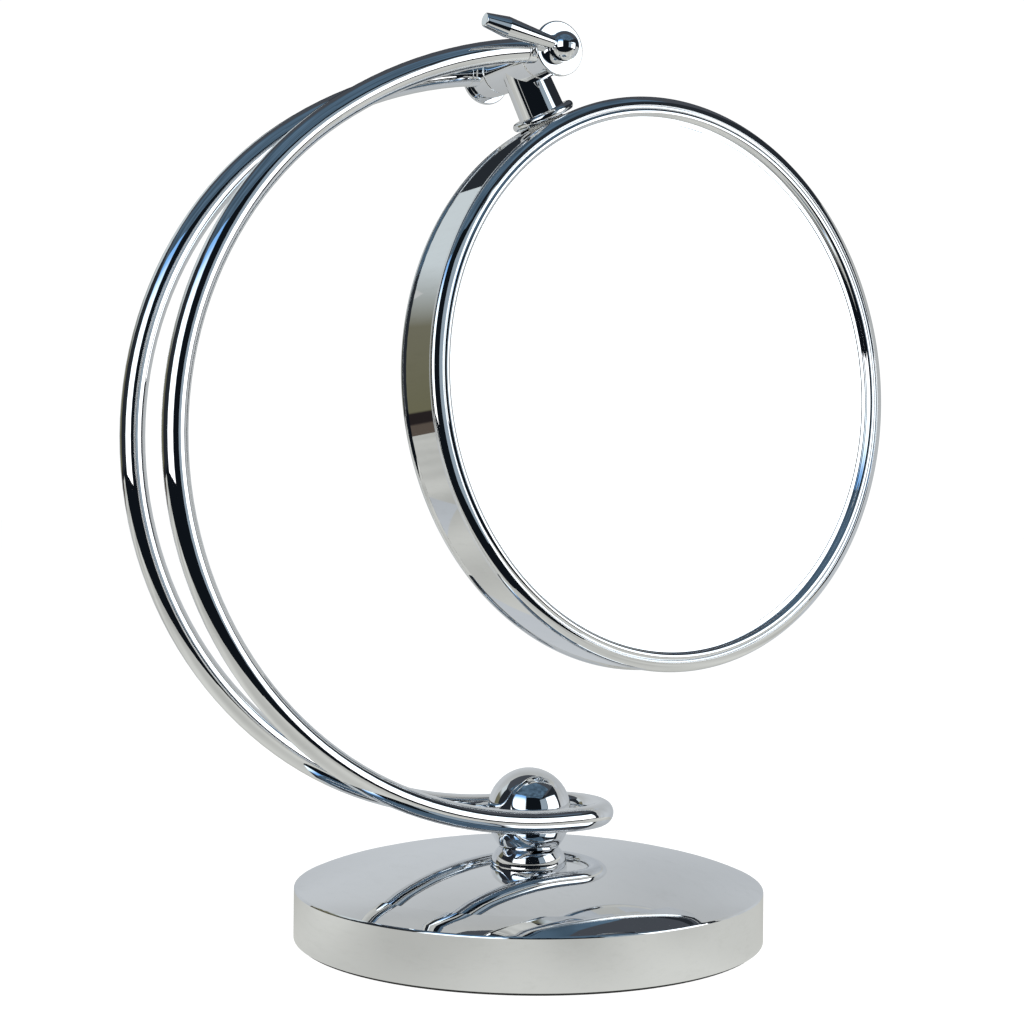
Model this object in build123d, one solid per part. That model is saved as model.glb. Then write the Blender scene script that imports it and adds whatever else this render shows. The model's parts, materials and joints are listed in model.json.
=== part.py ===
from build123d import *
import math
import os

# Crescent table shaving mirror, in millimetres.
# Origin: centre of the base's underside. +Z is up, +X is the side that the mirror swings out to,
# and -Y is the front, where the clamp lever is.

# ---------------------------------------------------------------- driving dimensions

# Base
BASE_RADIUS = 81.0
RIM_HEIGHT = 17.9            # top of the straight side wall
DOME_RADIUS = 268.0          # spherical top of the base
ROLL_START = 70.0            # where the dome turns over into a tighter curve
ROLL_RADIUS = 72.0
LAND_RADIUS = 9.5            # flat land in the dome's middle that the ball seat stands on
SHELL_THICKNESS = 1.5
PAD_THICKNESS = 1.0
PAD_INSET = 1.2
WEIGHT_TOP = 12.0            # top of the ballast disc
WEIGHT_CLEARANCE = 0.4
WEIGHT_BOSS_RADIUS = 16.0

# Ball that grips the arm
BALL_RADIUS = 14.45          # upper half
BALL_SEAT_RADIUS = 14.0      # lower half
BALL_TOP_CENTRE = 43.55      # height of the upper half's centre
BALL_SEAT_CENTRE = 40.45     # height of the lower half's centre
BALL_SPLIT = 38.35           # height of the joint between the halves
BALL_FOOT_RADIUS = 8.9       # short neck under the lower half

# Arm: one rod bent into a hairpin, with two parallel legs
ROD_RADIUS = 4.05
LEG_OFFSET = 19.5            # each leg's distance from the middle plane
ARM_HEIGHT = 42.4            # the rod's height where it passes the ball
LOOP_CENTRE_X = 7.0          # centre of the hairpin's half circle
LEG_ARCS = ((155.4, 19.3), (129.6, 31.0), (125.1, 93.5), (165.2, 28.7))  # radius, sweep in degrees

# Clamp pivot
PIVOT_X = -6.0
PIVOT_Z = 301.95
BARREL_RADIUS = 7.6
HUB_HALF = 12.6              # half length of the barrel's middle piece
FRICTION_WASHER = 0.6
KNUCKLE_END = 23.95          # outer end of each outer knuckle, from the middle plane
DISC_RADIUS = 9.15
DISC_THICKNESS = 1.5
CLAMP_BOLT_RADIUS = 3.0
RUNNING_CLEARANCE = 0.04
LEVER_BALL_RADIUS = 5.0
LEVER_LENGTH = 30.8
LEVER_RISE = 8.2             # degrees above the horizontal

# Stem and swivel
TILT = 28.7                  # the stem's lean from hanging straight down, at rest
SWIVEL = 4.05                # the head's turn about the stem, at rest
PIVOT_TO_HEAD = 124.3        # pivot axis to the centre of the head
STEM_RADIUS = 8.2            # at the collar; it tapers to the barrel's radius at the pivot
COLLAR_RADIUS = 11.3
COLLAR_THICKNESS = 3.0
SWIVEL_BOLT_RADIUS = 2.5

# Head
HEAD_RADIUS = 103.1          # outermost radius, at the bezels' rims
BAND_RADIUS = 102.4
BAND_THICKNESS = 1.2
BAND_HALF = 7.4
RIM_LEVEL = 9.2              # height of the rim's centre of curvature from the middle plane
BEAD_LEVEL = 9.6             # height of the inner bead's centre from the middle plane
EDGE_ROUND = 1.7             # section radius of the rim and of the bead
BROW_RADIUS = 99.5           # where the sloping shoulder meets the groove
BROW_LEVEL = 11.45
GLASS_FACE = 8.3             # front surface of each glass, from the head's middle plane
GLASS_RADIUS = 95.6
GLASS_THICKNESS = 3.0
SIGHT_RADIUS = 94.2          # visible radius of the glass
MAGNIFIER_RADIUS = 750.0     # radius of curvature of the magnifying side
BACKING_THICKNESS = 0.6
BACKING_RADIUS = 86.0

# Levels along the barrel, from the middle plane outwards
KNUCKLE_START = HUB_HALF + FRICTION_WASHER
DISC_FACE = KNUCKLE_END + DISC_THICKNESS
LEVER_LEVEL = DISC_FACE + 2.7
FACE_GAP = 0.05              # between faces that turn on each other
FERRULE_SETBACK = 4.8        # from the leg's end back to the middle of its ferrule

# Levels along the stem, from the pivot axis towards the head
COLLAR_FOOT = PIVOT_TO_HEAD - HEAD_RADIUS - 0.5
COLLAR_TOP = COLLAR_FOOT - COLLAR_THICKNESS
WALL_DISTANCE = PIVOT_TO_HEAD - BAND_RADIUS
BLOCK_FOOT = WALL_DISTANCE + BAND_THICKNESS + 4.1
NUT_TOP = BLOCK_FOOT + 0.8
NUT_FOOT = NUT_TOP + 3.2
SWIVEL_BOLT_START = 8.0
BUSH_RADIUS = 4.0
BLOCK_HALF_HEIGHT = 5.2

# ---------------------------------------------------------------- helpers


def disc(radius, low, high, bore=0.0):
    """A turned disc between two heights on the Z axis, with an optional through bore."""
    middle = Pos(0, 0, (low + high) / 2)
    body = middle * Cylinder(radius, high - low)
    if bore:
        body -= middle * Cylinder(bore, 2 * (high - low))
    return body


def turned(*edges):
    """A solid of revolution about Z from the edges of a closed outline in the XZ plane."""
    return revolve(make_face(list(edges)), Axis.Z)


def turned_corners(*corners):
    """A solid of revolution about Z from (radius, height) corners."""
    points = [(radius, 0, height) for radius, height in corners]
    return revolve(make_face(Polyline(*points, close=True)), Axis.Z)


def rounded(body, radius, low, high):
    """Round every circular edge whose height lies between two values."""
    edges = [
        edge
        for edge in body.edges().filter_by(GeomType.CIRCLE)
        if low <= edge.center().Z <= high
    ]
    return fillet(edges, radius)


def hexagon(across_flats, low, high):
    """A hexagonal prism on the Z axis."""
    corner = across_flats / math.sqrt(3)
    return Pos(0, 0, low) * extrude(RegularPolygon(corner, 6), high - low)


# ---------------------------------------------------------------- frames

pivot = Vector(PIVOT_X, 0, PIVOT_Z)
lean = math.radians(TILT)
stem_down = Vector(math.sin(lean), 0, -math.cos(lean))
head_centre = pivot + stem_down * PIVOT_TO_HEAD
front_normal = Vector(0, -1, 0).rotate(Axis((0, 0, 0), stem_down), -SWIVEL)

# The barrel's own Z runs forwards along the pivot axis.
barrel_frame = Plane(origin=pivot, x_dir=(1, 0, 0), z_dir=(0, -1, 0)).location
# The stem's own Z runs from the pivot to the head.
stem_frame = Plane(origin=pivot, x_dir=(0, 1, 0), z_dir=stem_down).location
# The swivel frame shares the stem's axis but turns with the head.
swivel_frame = Plane(origin=pivot, x_dir=front_normal, z_dir=stem_down).location
# The head's own Z is its front normal and its own Y points back to the pivot.
head_x = (-stem_down).cross(front_normal)
head_frame = Plane(origin=head_centre, x_dir=head_x, z_dir=front_normal).location

# ---------------------------------------------------------------- base


def dome_outline(offset):
    """Edges of the base's top, moved inwards by an offset, and its (radius, height) end points."""
    dome = DOME_RADIUS - offset
    roll = ROLL_RADIUS - offset
    start_angle = math.asin(ROLL_START / DOME_RADIUS)
    roll_centre_r = ROLL_START - ROLL_RADIUS * math.sin(start_angle)
    end_angle = math.asin((BASE_RADIUS - roll_centre_r) / ROLL_RADIUS)
    roll_centre_z = RIM_HEIGHT - ROLL_RADIUS * math.cos(end_angle)
    dome_centre_z = roll_centre_z - (DOME_RADIUS - ROLL_RADIUS) * math.cos(start_angle)

    def on_dome(radius):
        return Vector(radius, 0, dome_centre_z + math.sqrt(dome**2 - radius**2))

    def on_roll(radius):
        rise = math.sqrt(roll**2 - (radius - roll_centre_r) ** 2)
        return Vector(radius, 0, roll_centre_z + rise)

    join = roll_centre_r + roll * math.sin(start_angle)
    edge = BASE_RADIUS - offset
    land = on_dome(LAND_RADIUS)
    top = ThreePointArc(land, on_dome((LAND_RADIUS + join) / 2), on_dome(join))
    shoulder = ThreePointArc(on_dome(join), on_roll((join + edge) / 2), on_roll(edge))
    return top, shoulder, land, on_roll(edge)


outer_top, outer_shoulder, outer_land, outer_rim = dome_outline(0.0)
inner_top, inner_shoulder, inner_land, inner_rim = dome_outline(SHELL_THICKNESS)
LAND_HEIGHT = outer_land.Z
SHELL_CEILING = inner_land.Z
BOLT_RADIUS = 4.0
BOLT_HOLE = 4.2
BOLT_HEAD_FLOOR = 3.5
BOLT_HEAD_HEIGHT = 5.3
WASHER_THICKNESS = 1.6


def make_base_shell():
    """Drawn cover: domed top with a flat land, straight wall, open underneath."""
    hole_top = Vector(BOLT_HOLE, 0, LAND_HEIGHT)
    hole_bottom = Vector(BOLT_HOLE, 0, SHELL_CEILING)
    outer_foot = Vector(BASE_RADIUS, 0, PAD_THICKNESS)
    inner_foot = Vector(BASE_RADIUS - SHELL_THICKNESS, 0, PAD_THICKNESS)
    shell = turned(
        Line(hole_top, outer_land),
        outer_top,
        outer_shoulder,
        Line(outer_rim, outer_foot),
        Line(outer_foot, inner_foot),
        Line(inner_foot, inner_rim),
        inner_shoulder,
        inner_top,
        Line(inner_land, hole_bottom),
        Line(hole_bottom, hole_top),
    )
    return rounded(shell, 0.8, RIM_HEIGHT - 0.1, RIM_HEIGHT + 0.1)


def make_base_weight():
    """Cast-iron disc with a raised boss that backs the land, counterbored for the bolt."""
    outside = BASE_RADIUS - SHELL_THICKNESS - WEIGHT_CLEARANCE
    corner = 2.0
    weight = turned_corners(
        (BOLT_HOLE, PAD_THICKNESS),
        (outside, PAD_THICKNESS),
        (outside, WEIGHT_TOP - corner),
        (outside - corner, WEIGHT_TOP),
        (WEIGHT_BOSS_RADIUS + 2 * corner, WEIGHT_TOP),
        (WEIGHT_BOSS_RADIUS, WEIGHT_TOP + 2 * corner),
        (WEIGHT_BOSS_RADIUS, SHELL_CEILING - corner),
        (inner_land.X, SHELL_CEILING),
        (BOLT_HOLE, SHELL_CEILING),
    )
    seat = BOLT_HEAD_FLOOR + BOLT_HEAD_HEIGHT + WASHER_THICKNESS
    return weight - disc(9.5, PAD_THICKNESS - 1, seat)


def make_base_pad():
    """Rubber sheet glued over the whole underside."""
    pad = disc(BASE_RADIUS - PAD_INSET, 0, PAD_THICKNESS)
    return rounded(pad, 0.25, -0.01, 0.01)


def make_base_bolt():
    """M8 hex bolt, head down, from the ballast up into the ball."""
    head_top = BOLT_HEAD_FLOOR + BOLT_HEAD_HEIGHT
    shank = disc(BOLT_RADIUS, head_top - 1, BALL_SPLIT + 12)
    return hexagon(13.0, BOLT_HEAD_FLOOR, head_top) + shank


def make_base_washer():
    """Plain washer under the bolt's head."""
    low = BOLT_HEAD_FLOOR + BOLT_HEAD_HEIGHT
    return disc(8.0, low, low + WASHER_THICKNESS, BOLT_HOLE)


# ---------------------------------------------------------------- ball


def make_ball_seat():
    """Lower half of the ball, with the short neck that stands on the land."""
    ball = Pos(0, 0, BALL_SEAT_CENTRE) * Sphere(BALL_SEAT_RADIUS)
    height = BALL_SPLIT - LAND_HEIGHT
    keep = Pos(0, 0, LAND_HEIGHT + height / 2) * Cylinder(2 * BALL_RADIUS, height)
    foot = disc(BALL_FOOT_RADIUS, LAND_HEIGHT, BALL_SPLIT - 1)
    return (ball & keep) + foot - disc(BOLT_HOLE, LAND_HEIGHT - 1, BALL_SPLIT + 1)


DOWEL_RADIUS = 2.0
DOWEL_INNER = 8.0            # how far from the axis each dowel starts inside the ball


def dowel(side, radius):
    """A cross pin from the ball to the middle of one leg."""
    length = LEG_OFFSET - DOWEL_INNER
    middle = Pos(0, side * (LEG_OFFSET + DOWEL_INNER) / 2, ARM_HEIGHT)
    return middle * Rot(90, 0, 0) * Cylinder(radius, length)


def make_ball_cap():
    """Upper half of the ball, tapped for the bolt and drilled for the two dowels."""
    ball = Pos(0, 0, BALL_TOP_CENTRE) * Sphere(BALL_RADIUS)
    below = Pos(0, 0, BALL_SPLIT - BALL_RADIUS) * Cylinder(2 * BALL_RADIUS, 2 * BALL_RADIUS)
    cap = ball - below - disc(BOLT_RADIUS, BALL_SPLIT - 1, BALL_SPLIT + 12)
    for side in (-1, 1):
        cap -= dowel(side, DOWEL_RADIUS)
    return cap


def make_arm_dowels():
    """The two dowels that hold the legs to the ball."""
    return [dowel(side, DOWEL_RADIUS) for side in (-1, 1)]


# ---------------------------------------------------------------- arm


def leg_centreline():
    """Tangent arcs from the ball, round the crescent and up to the pivot, in the XZ plane."""
    edges = []
    start = Vector(0, ARM_HEIGHT)
    tangent = Vector(-1, 0)
    for radius, sweep_angle in LEG_ARCS:
        arc = JernArc(start, tangent, radius, -sweep_angle)
        edges.append(arc)
        start, tangent = arc @ 1, arc % 1
    return Plane.XZ.location * Wire(edges), start, tangent


leg_path, leg_end, leg_end_direction = leg_centreline()


def make_arm_leg(side):
    """One C-shaped leg, from beside the ball into its knuckle."""
    start = Plane(origin=(0, 0, ARM_HEIGHT), z_dir=(-1, 0, 0))
    leg = sweep(start.location * Circle(ROD_RADIUS), path=leg_path)
    leg = Pos(0, side * LEG_OFFSET, 0) * leg
    return leg - dowel(side, DOWEL_RADIUS)


def make_arm_loop():
    """The hairpin end: two short straights and a half circle round the ball."""
    section = Plane(origin=(0, -LEG_OFFSET, ARM_HEIGHT), z_dir=(1, 0, 0)).location
    near = section * extrude(Circle(ROD_RADIUS), LOOP_CENTRE_X)
    far = Pos(0, 2 * LEG_OFFSET, 0) * near
    ring_axis = Axis((LOOP_CENTRE_X, 0, ARM_HEIGHT), (0, 0, 1))
    bend_start = Pos(LOOP_CENTRE_X, 0, 0) * section * Circle(ROD_RADIUS)
    bend = revolve(bend_start, ring_axis, 180)
    loop = near + bend + far
    for side in (-1, 1):
        loop -= dowel(side, DOWEL_RADIUS)
    return loop


# ---------------------------------------------------------------- clamp pivot


def round_rim(body, radius, rim_radius):
    """Round the circular edges that have one radius."""
    edges = [
        edge
        for edge in body.edges().filter_by(GeomType.CIRCLE)
        if abs(edge.radius - rim_radius) < 0.05
    ]
    return fillet(edges, radius)


def on_side(body, side):
    """Turn a piece made for the front of the barrel to the rear where side is positive."""
    turn = Rot(180, 0, 0) if side > 0 else Rot(0, 0, 0)
    return barrel_frame * turn * body


def make_knuckle(side, leg):
    """Outer piece of the barrel, bored for the clamp bolt and drilled for its leg."""
    body = disc(BARREL_RADIUS, KNUCKLE_START, KNUCKLE_END, CLAMP_BOLT_RADIUS)
    return on_side(round_rim(body, 0.4, BARREL_RADIUS), side) - leg


def make_end_disc(side):
    """Large polished washer that closes the barrel's end."""
    body = disc(DISC_RADIUS, KNUCKLE_END, DISC_FACE, CLAMP_BOLT_RADIUS)
    return on_side(round_rim(body, 0.45, DISC_RADIUS), side)


def make_clamp_bolt():
    """Axle of the pivot, with a low domed head behind the rear disc."""
    head_radius = 5.5
    head_height = 3.0
    head = disc(head_radius, -DISC_FACE - head_height, -DISC_FACE)
    crown = head.edges().filter_by(GeomType.CIRCLE).sort_by(Axis.Z)[0]
    shank = disc(CLAMP_BOLT_RADIUS, -DISC_FACE - 1, LEVER_LEVEL + 2.4)
    return barrel_frame * (fillet(crown, 1.6) + shank)


def make_friction_washers():
    """Nylon washers between the hub and the two knuckles."""
    washer = disc(BARREL_RADIUS - 0.3, HUB_HALF, KNUCKLE_START, CLAMP_BOLT_RADIUS)
    return [on_side(washer, side) for side in (-1, 1)]


def make_leg_ferrules(legs):
    """Rings where the legs enter the knuckles, seated on the barrel."""
    length = 3.4
    outside = ROD_RADIUS + 0.35
    ring = Cylinder(outside, length) - Cylinder(ROD_RADIUS + 0.06, 2 * length)
    ring = round_rim(ring, 0.15, outside)
    slope = math.degrees(math.atan2(leg_end_direction.Y, leg_end_direction.X))
    middle = leg_end - leg_end_direction * FERRULE_SETBACK
    barrel = barrel_frame * Cylinder(BARREL_RADIUS, 2 * KNUCKLE_END)
    ferrules = []
    for side in (-1, 1):
        place = Pos(middle.X, side * LEG_OFFSET, middle.Y) * Rot(0, 90 - slope, 0)
        ferrules.append(place * ring - barrel - legs)
    return ferrules


def lever_handle_body():
    """Tapered handle in the barrel's frame, pointing back over the crescent."""
    start, widest = 3.6, 22.5
    neck, shoulder, tip = 1.9, 3.4, 2.3
    handle = turned_corners(
        (0, start),
        (neck, start),
        (shoulder, widest),
        (tip, LEVER_LENGTH),
        (0, LEVER_LENGTH),
    )
    handle = rounded(handle, 0.5, widest - 1, LEVER_LENGTH + 1)
    return Pos(0, 0, LEVER_LEVEL) * Rot(0, 0, -LEVER_RISE) * Rot(0, -90, 0) * handle


def make_lever_hub():
    """Ball nut, faced off where it bears on the front disc."""
    ball = Pos(0, 0, LEVER_LEVEL) * Sphere(LEVER_BALL_RADIUS)
    ball -= disc(2 * LEVER_BALL_RADIUS, DISC_FACE - 10, DISC_FACE + FACE_GAP)
    ball -= disc(CLAMP_BOLT_RADIUS + RUNNING_CLEARANCE, DISC_FACE - 1, LEVER_LEVEL + 2.5)
    return barrel_frame * (ball - lever_handle_body())


# ---------------------------------------------------------------- stem and swivel


def make_hinge_hub():
    """Middle of the barrel with the stem, drilled for the clamp bolt and the swivel bolt."""
    barrel = barrel_frame * Cylinder(BARREL_RADIUS, 2 * (HUB_HALF - FACE_GAP))
    stem = stem_frame * turned_corners(
        (0, 0),
        (BARREL_RADIUS, 0),
        (STEM_RADIUS, COLLAR_TOP),
        (0, COLLAR_TOP),
    )
    bore = barrel_frame * Cylinder(CLAMP_BOLT_RADIUS + RUNNING_CLEARANCE, 4 * HUB_HALF)
    tapped = stem_frame * disc(SWIVEL_BOLT_RADIUS, SWIVEL_BOLT_START, COLLAR_TOP + 1)
    return barrel + stem - bore - tapped


def make_stem_collar():
    """Round-edged flange ring at the stem's foot."""
    collar = disc(COLLAR_RADIUS, COLLAR_TOP, COLLAR_FOOT, SWIVEL_BOLT_RADIUS)
    return stem_frame * round_rim(collar, 1.4, COLLAR_RADIUS)


def make_swivel_bolt():
    """Stud that the head turns on, from inside the stem to its nut inside the case."""
    return stem_frame * disc(SWIVEL_BOLT_RADIUS, SWIVEL_BOLT_START, NUT_FOOT + 0.8)


def make_swivel_spring():
    """Spring washer between the case's block and the nut."""
    washer = disc(4.6, BLOCK_FOOT + FACE_GAP, NUT_TOP, SWIVEL_BOLT_RADIUS)
    return stem_frame * washer


def make_swivel_nut():
    """Thin lock nut inside the case."""
    nut = hexagon(8.0, NUT_TOP, NUT_FOOT) - disc(SWIVEL_BOLT_RADIUS, NUT_TOP - 1, NUT_FOOT + 1)
    return stem_frame * nut


def make_swivel_bush():
    """Bush in the case's wall that turns on the stud."""
    top = COLLAR_FOOT + FACE_GAP
    bush = disc(BUSH_RADIUS, top, BLOCK_FOOT, SWIVEL_BOLT_RADIUS + RUNNING_CLEARANCE)
    return stem_frame * bush


def make_swivel_washer():
    """Plastic bearing washer, hollowed to sit on the case's wall."""
    washer = disc(6.5, COLLAR_FOOT + FACE_GAP, WALL_DISTANCE + BAND_THICKNESS / 2, BUSH_RADIUS)
    return stem_frame * washer - head_frame * disc(BAND_RADIUS, -BAND_HALF, BAND_HALF)


def make_swivel_block():
    """Block riveted inside the wall, which spreads the load of the swivel."""
    depth = BLOCK_FOOT - WALL_DISTANCE
    block = Pos(0, 0, WALL_DISTANCE + depth / 2) * Box(2 * BLOCK_HALF_HEIGHT, 16, depth)
    wall = head_frame * disc(BAND_RADIUS - BAND_THICKNESS, -BAND_HALF, BAND_HALF)
    hole = stem_frame * disc(BUSH_RADIUS, 0, BLOCK_FOOT + 1)
    return (swivel_frame * block & wall) - hole


# ---------------------------------------------------------------- head


def make_case_band():
    """Straight side wall of the head, drilled for the swivel bush."""
    band = disc(BAND_RADIUS, -BAND_HALF, BAND_HALF, BAND_RADIUS - BAND_THICKNESS)
    return head_frame * band - stem_frame * disc(BUSH_RADIUS, 0, BLOCK_FOOT + 1)


def make_bezel(side):
    """Moulded ring: rounded rim, sloping shoulder, groove, and a bead with a lip over the glass."""
    rim = Vector(HEAD_RADIUS - EDGE_ROUND, 0, RIM_LEVEL)
    bead = Vector(SIGHT_RADIUS + 2 * EDGE_ROUND, 0, BEAD_LEVEL)

    def around(centre, angle):
        turn = math.radians(angle)
        return centre + Vector(math.cos(turn), 0, math.sin(turn)) * EDGE_ROUND

    skirt = around(rim, -38)
    shoulder = around(rim, 72)
    brow = Vector(BROW_RADIUS, 0, BROW_LEVEL)
    crown = (shoulder + brow) / 2 + Vector(0.03, 0, 0.09)
    groove = around(bead, 27)
    lip = around(bead, 205)
    spigot = BAND_RADIUS - BAND_THICKNESS - 0.05
    floor = GLASS_FACE - GLASS_THICKNESS + 0.05
    corners = (
        (BAND_RADIUS, BAND_HALF),
        (spigot, BAND_HALF),
        (spigot, floor),
        (spigot - 1.15, floor),
        (spigot - 1.15, GLASS_FACE + 0.3),
        (GLASS_RADIUS + 0.5, GLASS_FACE + 0.3),
        (GLASS_RADIUS + 0.5, GLASS_FACE),
        (SIGHT_RADIUS, GLASS_FACE),
        (SIGHT_RADIUS, GLASS_FACE + 0.25),
    )
    inside = [Vector(radius, 0, height) for radius, height in corners]
    bezel = turned(
        ThreePointArc(skirt, around(rim, 17), shoulder),
        ThreePointArc(shoulder, crown, brow),
        Line(brow, groove),
        ThreePointArc(groove, around(bead, 110), lip),
        Line(lip, inside[-1]),
        Polyline(*inside),
        Line(inside[0], skirt),
    )
    bezel = round_rim(bezel, 0.3, BROW_RADIUS)
    turn = Rot(180, 0, 0) if side > 0 else Rot(0, 0, 0)
    return head_frame * turn * bezel


def make_front_glass():
    """Plane mirror glass."""
    return head_frame * disc(GLASS_RADIUS, GLASS_FACE - GLASS_THICKNESS, GLASS_FACE)


def hollow_disc(radius, depth, thickness):
    """Disc that follows the magnifying curve, its front a depth behind the glass's front."""

    def height(r, offset):
        rise = math.sqrt(MAGNIFIER_RADIUS**2 - GLASS_RADIUS**2)
        return GLASS_FACE + rise - math.sqrt(MAGNIFIER_RADIUS**2 - r**2) - offset

    def curve(offset):
        points = [Vector(r, 0, height(r, offset)) for r in (0, radius / 2, radius)]
        return ThreePointArc(*points)

    front, back = curve(depth), curve(depth + thickness)
    return turned(front, Line(front @ 1, back @ 1), back, Line(back @ 0, front @ 0))


def make_rear_glass():
    """Concave magnifying mirror glass."""
    return head_frame * Rot(180, 0, 0) * hollow_disc(GLASS_RADIUS, 0, GLASS_THICKNESS)


def make_front_backing():
    """Card disc behind the plane glass."""
    back = GLASS_FACE - GLASS_THICKNESS
    return head_frame * disc(BACKING_RADIUS, back - BACKING_THICKNESS, back)


def make_rear_backing():
    """Card disc behind the magnifying glass."""
    card = hollow_disc(BACKING_RADIUS, GLASS_THICKNESS, BACKING_THICKNESS)
    return head_frame * Rot(180, 0, 0) * card


def make_glass_spacer():
    """Plastic ring between the two glasses, notched for the swivel."""
    half = GLASS_FACE - GLASS_THICKNESS
    inner, outer = GLASS_RADIUS - 3.8, BAND_RADIUS - BAND_THICKNESS - 0.1
    ring = turned_corners(
        (inner, half),
        (outer, half),
        (outer, -half),
        (GLASS_RADIUS + 0.1, -half),
        (inner, 0.5 - half),
    )
    notch = swivel_frame * Pos(0, 0, PIVOT_TO_HEAD - GLASS_RADIUS) * Box(4 * half, 17, 22)
    return head_frame * ring - notch


# ---------------------------------------------------------------- write the parts

front_leg = make_arm_leg(-1)
rear_leg = make_arm_leg(1)

parts = {
    "base_shell": make_base_shell(),
    "base_weight": make_base_weight(),
    "base_pad": make_base_pad(),
    "base_bolt": make_base_bolt(),
    "base_washer": make_base_washer(),
    "ball_seat": make_ball_seat(),
    "ball_cap": make_ball_cap(),
    "arm_dowels": Compound(children=make_arm_dowels()),
    "arm_leg_front": front_leg,
    "arm_leg_rear": rear_leg,
    "arm_loop": make_arm_loop(),
    "front_knuckle": make_knuckle(-1, front_leg),
    "rear_knuckle": make_knuckle(1, rear_leg),
    "front_disc": make_end_disc(-1),
    "rear_disc": make_end_disc(1),
    "leg_ferrules": Compound(children=make_leg_ferrules(front_leg + rear_leg)),
    "clamp_bolt": make_clamp_bolt(),
    "friction_washers": Compound(children=make_friction_washers()),
    "lever_hub": make_lever_hub(),
    "lever_handle": barrel_frame * lever_handle_body(),
    "hinge_hub": make_hinge_hub(),
    "stem_collar": make_stem_collar(),
    "swivel_bolt": make_swivel_bolt(),
    "swivel_spring": make_swivel_spring(),
    "swivel_nut": make_swivel_nut(),
    "swivel_bush": make_swivel_bush(),
    "swivel_washer": make_swivel_washer(),
    "swivel_block": make_swivel_block(),
    "case_band": make_case_band(),
    "front_bezel": make_bezel(-1),
    "rear_bezel": make_bezel(1),
    "front_glass": make_front_glass(),
    "rear_glass": make_rear_glass(),
    "front_backing": make_front_backing(),
    "rear_backing": make_rear_backing(),
    "glass_spacer": make_glass_spacer(),
}

os.makedirs("parts", exist_ok=True)
for name, shape in parts.items():
    export_step(shape, f"parts/{name}.step")
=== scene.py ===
import bpy
import json
import math

from mathutils import Matrix, Vector


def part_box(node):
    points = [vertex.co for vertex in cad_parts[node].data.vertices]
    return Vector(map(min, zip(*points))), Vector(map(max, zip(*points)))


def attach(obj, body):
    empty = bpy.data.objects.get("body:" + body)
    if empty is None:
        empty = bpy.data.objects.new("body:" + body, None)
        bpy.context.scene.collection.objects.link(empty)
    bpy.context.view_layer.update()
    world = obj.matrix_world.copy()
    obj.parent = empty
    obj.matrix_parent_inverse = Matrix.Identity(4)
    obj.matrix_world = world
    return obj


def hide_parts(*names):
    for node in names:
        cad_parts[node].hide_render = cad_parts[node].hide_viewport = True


# Crescent table shaving mirror. Metres, in the CAD model's frame.

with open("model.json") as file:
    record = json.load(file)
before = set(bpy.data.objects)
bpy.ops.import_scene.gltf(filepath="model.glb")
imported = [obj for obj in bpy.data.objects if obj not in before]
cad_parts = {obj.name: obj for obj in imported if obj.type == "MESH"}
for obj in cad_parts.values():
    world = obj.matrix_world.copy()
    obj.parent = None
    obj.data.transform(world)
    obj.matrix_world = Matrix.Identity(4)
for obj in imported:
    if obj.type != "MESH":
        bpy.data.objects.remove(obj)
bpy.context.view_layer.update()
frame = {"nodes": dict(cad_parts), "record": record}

# ---------------------------------------------------------------- node helpers


def new_material(name):
    """A material with a Principled shader, its node tree and the shader node."""
    material = bpy.data.materials.new(name)
    material.use_nodes = True
    tree = material.node_tree
    shader = tree.nodes["Principled BSDF"]
    return material, tree, shader


def object_coordinates(tree):
    """Coordinates fixed to the piece."""
    return tree.nodes.new("ShaderNodeTexCoord").outputs["Object"]


def noise(tree, coordinates, scale, detail=2.0, roughness=0.5, stretch=None):
    """Noise in object space. stretch scales the coordinates on each axis first."""
    if stretch:
        mapping = tree.nodes.new("ShaderNodeMapping")
        mapping.inputs["Scale"].default_value = stretch
        tree.links.new(coordinates, mapping.inputs["Vector"])
        coordinates = mapping.outputs["Vector"]
    node = tree.nodes.new("ShaderNodeTexNoise")
    node.inputs["Scale"].default_value = scale
    node.inputs["Detail"].default_value = detail
    node.inputs["Roughness"].default_value = roughness
    tree.links.new(coordinates, node.inputs["Vector"])
    return node.outputs["Fac"]


def remap(tree, value, from_low, from_high, to_low, to_high):
    """A value moved from one range to another."""
    node = tree.nodes.new("ShaderNodeMapRange")
    node.inputs["From Min"].default_value = from_low
    node.inputs["From Max"].default_value = from_high
    node.inputs["To Min"].default_value = to_low
    node.inputs["To Max"].default_value = to_high
    tree.links.new(value, node.inputs["Value"])
    return node.outputs["Result"]


def maths(tree, operation, first, second):
    """A Math node. Each input is a number or another node's output."""
    node = tree.nodes.new("ShaderNodeMath")
    node.operation = operation
    for socket, value in zip(node.inputs, (first, second)):
        if isinstance(value, (int, float)):
            socket.default_value = value
        else:
            tree.links.new(value, socket)
    return node.outputs["Value"]


def mix_colours(tree, factor, first, second):
    """Two colours blended by a factor."""
    node = tree.nodes.new("ShaderNodeMix")
    node.data_type = "RGBA"
    node.inputs[6].default_value = (*first, 1)
    node.inputs[7].default_value = (*second, 1)
    tree.links.new(factor, node.inputs["Factor"])
    return node.outputs[2]


def bump(tree, shader, height, strength, distance):
    """Surface relief from a height, linked to the shader."""
    node = tree.nodes.new("ShaderNodeBump")
    node.inputs["Strength"].default_value = strength
    node.inputs["Distance"].default_value = distance
    tree.links.new(height, node.inputs["Height"])
    tree.links.new(node.outputs["Normal"], shader.inputs["Normal"])


# ---------------------------------------------------------------- materials


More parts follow.
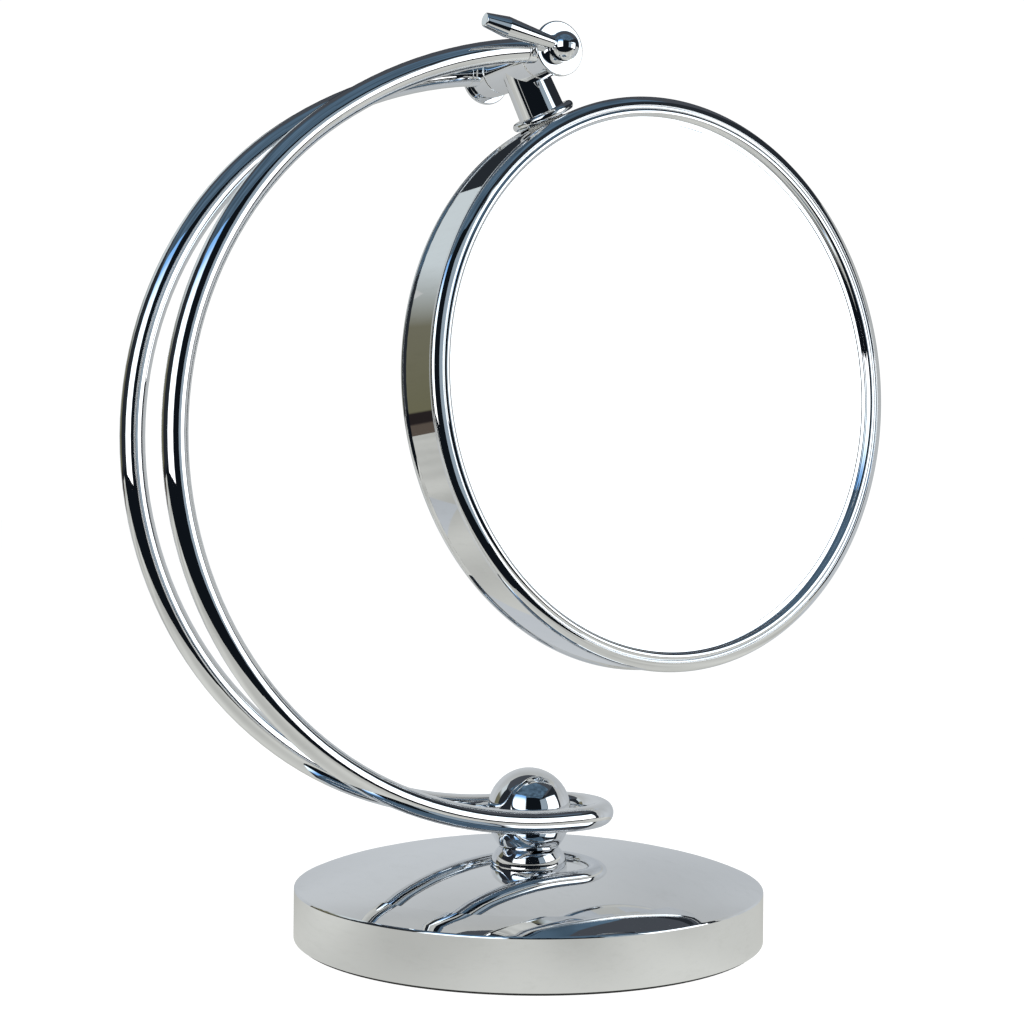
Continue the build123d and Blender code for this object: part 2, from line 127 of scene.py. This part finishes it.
def make_chrome(name, polish, smudge, ripple):
    """Polished plate: fine haze that varies, faint smudges, and a very slight ripple."""
    material, tree, shader = new_material(name)
    coordinates = object_coordinates(tree)
    haze = remap(tree, noise(tree, coordinates, 90, 4, 0.6), 0.35, 0.7, 0.0, 1.0)
    wipes = noise(tree, coordinates, 260, 3, 0.65, (1.0, 0.35, 2.2))
    smudges = maths(tree, "MULTIPLY", haze, remap(tree, wipes, 0.45, 0.75, 0.0, 1.0))
    shader.inputs["Metallic"].default_value = 1.0
    roughness = maths(tree, "ADD", polish, maths(tree, "MULTIPLY", smudges, smudge))
    tree.links.new(roughness, shader.inputs["Roughness"])
    tint = mix_colours(tree, smudges, (0.90, 0.91, 0.925), (0.84, 0.85, 0.86))
    tree.links.new(tint, shader.inputs["Base Color"])
    bump(tree, shader, noise(tree, coordinates, 55, 2, 0.4), ripple, 0.0004)
    return material


def make_mirror(name):
    """Silvered glass with a faint cool cast and a trace of wiped dust."""
    material, tree, shader = new_material(name)
    coordinates = object_coordinates(tree)
    shader.inputs["Metallic"].default_value = 1.0
    wipe = noise(tree, coordinates, 35, 5, 0.7, (1.0, 1.0, 0.4))
    dust = remap(tree, wipe, 0.5, 0.8, 0.0, 1.0)
    tree.links.new(remap(tree, dust, 0.0, 1.0, 0.004, 0.03), shader.inputs["Roughness"])
    tint = mix_colours(tree, dust, (0.955, 0.965, 0.965), (0.93, 0.94, 0.945))
    tree.links.new(tint, shader.inputs["Base Color"])
    shader.inputs["Coat Weight"].default_value = 0.3
    shader.inputs["Coat Roughness"].default_value = 0.01
    return material


def make_matt(name, colour, second, roughness, scale, strength):
    """Rubber, nylon or card: mottled colour with a fine grain."""
    material, tree, shader = new_material(name)
    coordinates = object_coordinates(tree)
    patches = noise(tree, coordinates, scale, 4, 0.6)
    tint = mix_colours(tree, remap(tree, patches, 0.3, 0.7, 0.0, 1.0), colour, second)
    tree.links.new(tint, shader.inputs["Base Color"])
    low, high = roughness - 0.06, roughness + 0.06
    tree.links.new(remap(tree, patches, 0.3, 0.7, low, high), shader.inputs["Roughness"])
    bump(tree, shader, noise(tree, coordinates, scale * 12, 3, 0.6), strength, 0.0003)
    return material


def make_metal(name, colour, second, roughness, scale, stretch):
    """Bare or zinc-plated metal with directional tool marks."""
    material, tree, shader = new_material(name)
    coordinates = object_coordinates(tree)
    marks = noise(tree, coordinates, scale, 4, 0.6, stretch)
    shader.inputs["Metallic"].default_value = 1.0
    tint = mix_colours(tree, remap(tree, marks, 0.3, 0.7, 0.0, 1.0), colour, second)
    tree.links.new(tint, shader.inputs["Base Color"])
    low, high = roughness - 0.08, roughness + 0.08
    tree.links.new(remap(tree, marks, 0.3, 0.7, low, high), shader.inputs["Roughness"])
    bump(tree, shader, marks, 0.15, 0.0002)
    return material


finishes = {
    "chrome": make_chrome("chrome_plate", 0.02, 0.05, 0.006),
    "mirror": make_mirror("silvered_glass"),
    "ballast": make_matt("cast_ballast", (0.05, 0.05, 0.055), (0.09, 0.085, 0.08), 0.7, 90, 0.8),
    "rubber": make_matt("rubber_sheet", (0.012, 0.012, 0.012), (0.03, 0.029, 0.028), 0.8, 160, 0.5),
    "steel": make_metal("zinc_hardware", (0.55, 0.56, 0.58), (0.46, 0.46, 0.45), 0.3, 300, (1, 1, 5)),
    "nylon": make_matt("nylon_washer", (0.80, 0.79, 0.74), (0.72, 0.71, 0.66), 0.45, 200, 0.2),
    "bronze": make_metal("bronze_bush", (0.55, 0.36, 0.16), (0.40, 0.25, 0.12), 0.4, 400, (1, 1, 3)),
    "backing": make_matt("backing_sheet", (0.10, 0.095, 0.09), (0.15, 0.14, 0.13), 0.8, 60, 0.6),
    "spacer": make_matt("spacer_moulding", (0.03, 0.03, 0.03), (0.05, 0.05, 0.05), 0.55, 120, 0.3),
}

for entry in frame["record"]["subparts"]:
    node = frame["nodes"][entry["node"]]
    node.data.materials.clear()
    node.data.materials.append(finishes[entry["material_slot"]])

# ---------------------------------------------------------------- bezels

# The section of the moulded rings, in millimetres: distance from the head's axis, and height
# from the head's middle plane.
RIM = Vector((101.4, 9.2))
RIM_TURNS = (-38, 72)
BEAD = Vector((97.6, 9.6))
BEAD_TURNS = (27, 205)
ROUND = 1.7
BROW = Vector((99.5, 11.45))
BROW_ROUND = 0.28
CROWN_LEAN = Vector((0.06, 0.18))
SIGHT, GLASS_EDGE, SPIGOT_INSIDE, SPIGOT, BAND = 94.2, 96.1, 100.0, 101.15, 102.4
GLASS_FACE, SHELF, SPIGOT_FOOT, BAND_EDGE = 8.3, 8.6, 5.35, 7.4
RING_STEPS = 360
SHARP_ANGLE = math.radians(28)


def arc(start, end, centre, steps):
    """Points on a round of the section, between two angles in degrees."""
    turns = [math.radians(start + (end - start) * step / steps) for step in range(steps + 1)]
    return [centre + ROUND * Vector((math.cos(turn), math.sin(turn))) for turn in turns]


def bend(start, corner, end, steps):
    """Points between start and end on a curve that leans towards a corner."""
    shares = [step / steps for step in range(steps + 1)]
    return [start * (1 - t) ** 2 + corner * 2 * t * (1 - t) + end * t**2 for t in shares]


def bezel_section():
    """Rounded rim, sloping shoulder, brow, bead, and the square back that holds the glass."""
    rim = arc(*RIM_TURNS, RIM, 16)
    bead = arc(*BEAD_TURNS, BEAD, 26)
    above = BROW + (rim[-1] - BROW).normalized() * BROW_ROUND
    below = BROW + (bead[0] - BROW).normalized() * BROW_ROUND
    crown = (rim[-1] + above) / 2 + CROWN_LEAN
    slope = bend(rim[-1], crown, above, 6)
    brow = bend(above, BROW, below, 6)
    back = (
        (SIGHT, GLASS_FACE + 0.25),
        (SIGHT, GLASS_FACE),
        (GLASS_EDGE, GLASS_FACE),
        (GLASS_EDGE, SHELF),
        (SPIGOT_INSIDE, SHELF),
        (SPIGOT_INSIDE, SPIGOT_FOOT),
        (SPIGOT, SPIGOT_FOOT),
        (SPIGOT, BAND_EDGE),
        (BAND, BAND_EDGE),
    )
    return rim + slope[1:] + brow[1:] + bead + [Vector(corner) for corner in back]


def spun_bezel(node, facing):
    """The ring of a CAD bezel, spun in even steps so that its reflections run smoothly."""
    section = bezel_section()
    joints = frame["record"]["behaviour"]["joints"]
    swivel = next(joint for joint in joints if joint["name"] == "head_swivel")
    hinge, stem = Vector(swivel["pos_m"]), Vector(swivel["axis"]).normalized()
    box_low, box_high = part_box("case_band")
    centre = hinge + stem * ((Vector(box_low) + Vector(box_high)) / 2 - hinge).dot(stem)
    glass = frame["nodes"]["front_glass"]
    face = max(glass.data.polygons, key=lambda polygon: polygon.area)
    normal = (glass.matrix_world.to_3x3() @ face.normal).normalized()
    if normal.y > 0:
        normal = -normal
    across = normal.cross(stem).normalized()
    points = []
    for step in range(RING_STEPS):
        turn = 2 * math.pi * step / RING_STEPS
        outward = stem * math.cos(turn) + across * math.sin(turn)
        points += [centre + (outward * r + normal * facing * height) / 1000 for r, height in section]
    count = len(section)
    faces = []
    for step in range(RING_STEPS):
        here, there = step * count, (step + 1) % RING_STEPS * count
        for i in range(count):
            j = (i + 1) % count
            faces.append((here + i, here + j, there + j, there + i))
    mesh = bpy.data.meshes.new(node + "_spun")
    mesh.from_pydata(points, [], faces)
    for polygon in mesh.polygons:
        polygon.use_smooth = True
    if facing < 0:
        mesh.flip_normals()
    mesh.set_sharp_from_angle(angle=SHARP_ANGLE)
    mesh.materials.append(finishes["chrome"])
    ring = bpy.data.objects.new(node + "_spun", mesh)
    bpy.context.scene.collection.objects.link(ring)
    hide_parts(node)
    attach(ring, "head")


spun_bezel("front_bezel", 1)
spun_bezel("rear_bezel", -1)

# ---------------------------------------------------------------- studio

AZIMUTH = math.radians(-30.603)
ELEVATION = math.radians(-0.127)
ROLL = math.radians(0.506)
PAPER_EDGE = -0.21
depth_axis = Vector((-math.sin(AZIMUTH), math.cos(AZIMUTH), 0))
side_axis = Vector((math.cos(AZIMUTH), math.sin(AZIMUTH), 0))


def studio_point(side, depth, height):
    """A point of the studio, which is square to the camera: right, away and up, in metres."""
    return side_axis * side + depth_axis * depth + Vector((0, 0, height))


def emitter(name, stops, strength, edge=0.0, mottle=0.0):
    """A card's light: colours by height up it, fading out near its ends and top, and mottled."""
    material = bpy.data.materials.new(name)
    material.use_nodes = True
    tree = material.node_tree
    tree.nodes.clear()
    split = tree.nodes.new("ShaderNodeSeparateXYZ")
    tree.links.new(tree.nodes.new("ShaderNodeTexCoord").outputs["Generated"], split.inputs["Vector"])
    ramp = tree.nodes.new("ShaderNodeValToRGB")
    tree.links.new(split.outputs["Z"], ramp.inputs["Fac"])
    elements = ramp.color_ramp.elements
    elements.remove(elements[1])
    for index, (height, colour) in enumerate(stops):
        stop = elements[0] if index == 0 else elements.new(height)
        stop.position = height
        stop.color = (*colour, 1)
    emission = tree.nodes.new("ShaderNodeEmission")
    emission.inputs["Strength"].default_value = strength
    tree.links.new(ramp.outputs["Color"], emission.inputs["Color"])
    if edge:
        across = maths(tree, "PINGPONG", split.outputs["X"], 0.5)
        top = maths(tree, "SUBTRACT", 1.0, split.outputs["Z"])
        nearest = maths(tree, "MINIMUM", across, top)
        tree.links.new(remap(tree, nearest, 0.0, edge, 0.0, strength), emission.inputs["Strength"])
    if mottle:
        patches = noise(tree, object_coordinates(tree), 5.5, 1, 0.4)
        level = remap(tree, patches, 0.32, 0.68, 1 - mottle, 1 + mottle)
        tree.links.new(level, emission.inputs["Strength"])
    output = tree.nodes.new("ShaderNodeOutputMaterial")
    tree.links.new(emission.outputs["Emission"], output.inputs["Surface"])
    return material


def card(name, corners, material):
    """A flat studio card that reflections see and the camera doesn't."""
    mesh = bpy.data.meshes.new(name)
    mesh.from_pydata([studio_point(*corner) for corner in corners], [], [(0, 1, 2, 3)])
    mesh.materials.append(material)
    sheet = bpy.data.objects.new(name, mesh)
    bpy.context.scene.collection.objects.link(sheet)
    sheet.visible_camera = False
    sheet.visible_shadow = False
    sheet.visible_diffuse = False


def flat_card(name, left, right, near, far, height, material):
    """A level card."""
    corners = ((left, near, height), (right, near, height), (right, far, height), (left, far, height))
    card(name, corners, material)


def standing_card(name, start, end, bottom, top, material):
    """A vertical card between two (side, depth) points."""
    card(name, ((*start, bottom), (*end, bottom), (*end, top), (*start, top)), material)


world = bpy.data.worlds.new("studio")
bpy.context.scene.world = world
world.use_nodes = True
world_tree = world.node_tree
room = world_tree.nodes["Background"]
room.inputs["Color"].default_value = (0.020, 0.024, 0.030, 1)
room.inputs["Strength"].default_value = 1.0
page = world_tree.nodes.new("ShaderNodeBackground")
page.inputs["Color"].default_value = (1, 1, 1, 1)
page.inputs["Strength"].default_value = 1.05
rays = world_tree.nodes.new("ShaderNodeLightPath")
blend = world_tree.nodes.new("ShaderNodeMixShader")
world_tree.links.new(rays.outputs["Is Camera Ray"], blend.inputs["Fac"])
world_tree.links.new(room.outputs["Background"], blend.inputs[1])
world_tree.links.new(page.outputs["Background"], blend.inputs[2])
world_tree.links.new(blend.outputs["Shader"], world_tree.nodes["World Output"].inputs["Surface"])

paper = emitter("paper", ((0.0, (0.56, 0.565, 0.535)),), 1.0, mottle=0.22)
backdrop = emitter("backdrop_card", (
    (0.0, (0.52, 0.55, 0.58)),
    (1.0, (0.50, 0.51, 0.50)),
), 1.0, mottle=0.10)
glow = emitter("blue_glow", ((0.0, (0.30, 0.37, 0.43)),), 1.0)
sky = emitter("blue_sky", ((0.0, (0.075, 0.125, 0.180)),), 1.0, mottle=0.35)
slate = emitter("slate_ceiling", ((0.0, (0.065, 0.072, 0.085)),), 1.0)
night = emitter("dark_room", ((0.0, (0.005, 0.007, 0.010)),), 1.0)
wall = emitter("far_wall", (
    (0.0, (0.10, 0.08, 0.065)),
    (0.040, (0.10, 0.08, 0.065)),
    (0.046, (0.02, 0.016, 0.016)),
    (0.086, (0.02, 0.016, 0.016)),
    (0.094, (0.145, 0.140, 0.085)),
    (0.42, (0.16, 0.155, 0.11)),
    (0.62, (0.60, 0.66, 0.68)),
), 1.0)
soft_white = emitter("soft_white", ((0.0, (1.0, 1.0, 1.0)), (1.0, (0.8, 0.92, 1.0))), 1.9, 0.06)
window_blue = emitter("window_blue", (
    (0.0, (1.0, 1.0, 1.0)),
    (0.32, (0.80, 0.93, 1.0)),
    (0.50, (0.14, 0.30, 0.55)),
    (1.0, (0.05, 0.12, 0.25)),
), 1.9, 0.10)

# The table's paper ends a little in front of the object, and the grey card is close behind it.
flat_card("table_card", -1.6, 0.9, PAPER_EDGE, 1.3, -0.004, paper)
flat_card("dark_floor", -1.8, 1.8, -1.8, PAPER_EDGE, -0.005, night)
flat_card("sky", -0.9, 0.9, -1.1, -0.05, 1.0, sky)
flat_card("ceiling", -2.0, 2.0, -1.2, 2.0, 1.9, slate)
standing_card("dark_front", (-1.8, -1.5), (1.8, -1.5), 0.0, 2.2, night)
standing_card("back_card", (-0.29, 0.135), (0.9, 0.135), 0.0, 0.335, backdrop)
standing_card("far_wall", (-1.25, 0.20), (-0.45, 0.75), 0.0, 1.1, wall)
# Two windows, one on each side, and a dim glow beside the right one.
standing_card("right_window", (0.69, -0.51), (0.99, 0.03), 0.07, 0.62, soft_white)
standing_card("right_glow", (0.50, -0.74), (0.685, -0.52), 0.05, 0.60, glow)
standing_card("left_window", (-0.82, -0.60), (-0.16, -1.0), 0.06, 1.7, window_blue)

# ---------------------------------------------------------------- floor

FLOOR_REACH = 30.0
FLOOR_DROP = 0.0002

floor_mesh = bpy.data.meshes.new("floor")
floor_corners = [(x * FLOOR_REACH, y * FLOOR_REACH, 0) for x, y in ((-1, -1), (1, -1), (1, 1), (-1, 1))]
floor_mesh.from_pydata(floor_corners, [], [(0, 1, 2, 3)])
floor = bpy.data.objects.new("floor", floor_mesh)
bpy.context.scene.collection.objects.link(floor)
floor.location = (0, 0, -FLOOR_DROP)
floor_material, floor_tree, floor_shader = new_material("pale_floor")
floor_shader.inputs["Base Color"].default_value = (0.25, 0.25, 0.25, 1)
floor_shader.inputs["Roughness"].default_value = 1.0
floor_shader.inputs["Specular IOR Level"].default_value = 0.0
floor_shader.inputs["Emission Color"].default_value = (1, 1, 1, 1)
floor_shader.inputs["Emission Strength"].default_value = 1.0
floor_mesh.materials.append(floor_material)
floor.visible_glossy = False

# ---------------------------------------------------------------- lights


def area_light(name, place, target, size, energy, colour):
    """A square soft light at a place, aimed at a target."""
    data = bpy.data.lights.new(name, "AREA")
    data.size = size
    data.energy = energy
    data.color = colour
    lamp = bpy.data.objects.new(name, data)
    bpy.context.scene.collection.objects.link(lamp)
    direction = Vector(target) - Vector(place)
    aim = direction.to_track_quat("-Z", "Y").to_matrix().to_4x4()
    lamp.matrix_world = Matrix.Translation(place) @ aim
    lamp.visible_glossy = False
    return lamp


area_light("key", (0.5, -0.6, 1.1), (0, 0, 0.1), 1.0, 14, (1, 1, 1))
area_light("fill", (-0.8, -0.3, 0.9), (0, 0, 0.1), 1.0, 8, (0.95, 0.98, 1))

# ---------------------------------------------------------------- camera

SENSOR_WIDTH = 36.0
LENS = 62.90
CAMERA_TARGET = Vector((-0.007943, 0.0, 0.14683))
CAMERA_DISTANCE = 0.618461

camera_data = bpy.data.cameras.new("camera")
camera_data.sensor_width = SENSOR_WIDTH
camera_data.lens = LENS
camera_data.clip_start = 0.01
camera = bpy.data.objects.new("camera", camera_data)
bpy.context.scene.collection.objects.link(camera)
back = Vector((
    math.sin(AZIMUTH) * math.cos(ELEVATION),
    -math.cos(AZIMUTH) * math.cos(ELEVATION),
    math.sin(ELEVATION),
))
up = back.cross(side_axis)
rolled_right = side_axis * math.cos(ROLL) + up * math.sin(ROLL)
rolled_up = up * math.cos(ROLL) - side_axis * math.sin(ROLL)
orientation = Matrix((rolled_right, rolled_up, back)).transposed().to_4x4()
camera.matrix_world = Matrix.Translation(CAMERA_TARGET + back * CAMERA_DISTANCE) @ orientation
bpy.context.scene.camera = camera

bpy.context.scene.view_settings.view_transform = "Standard"
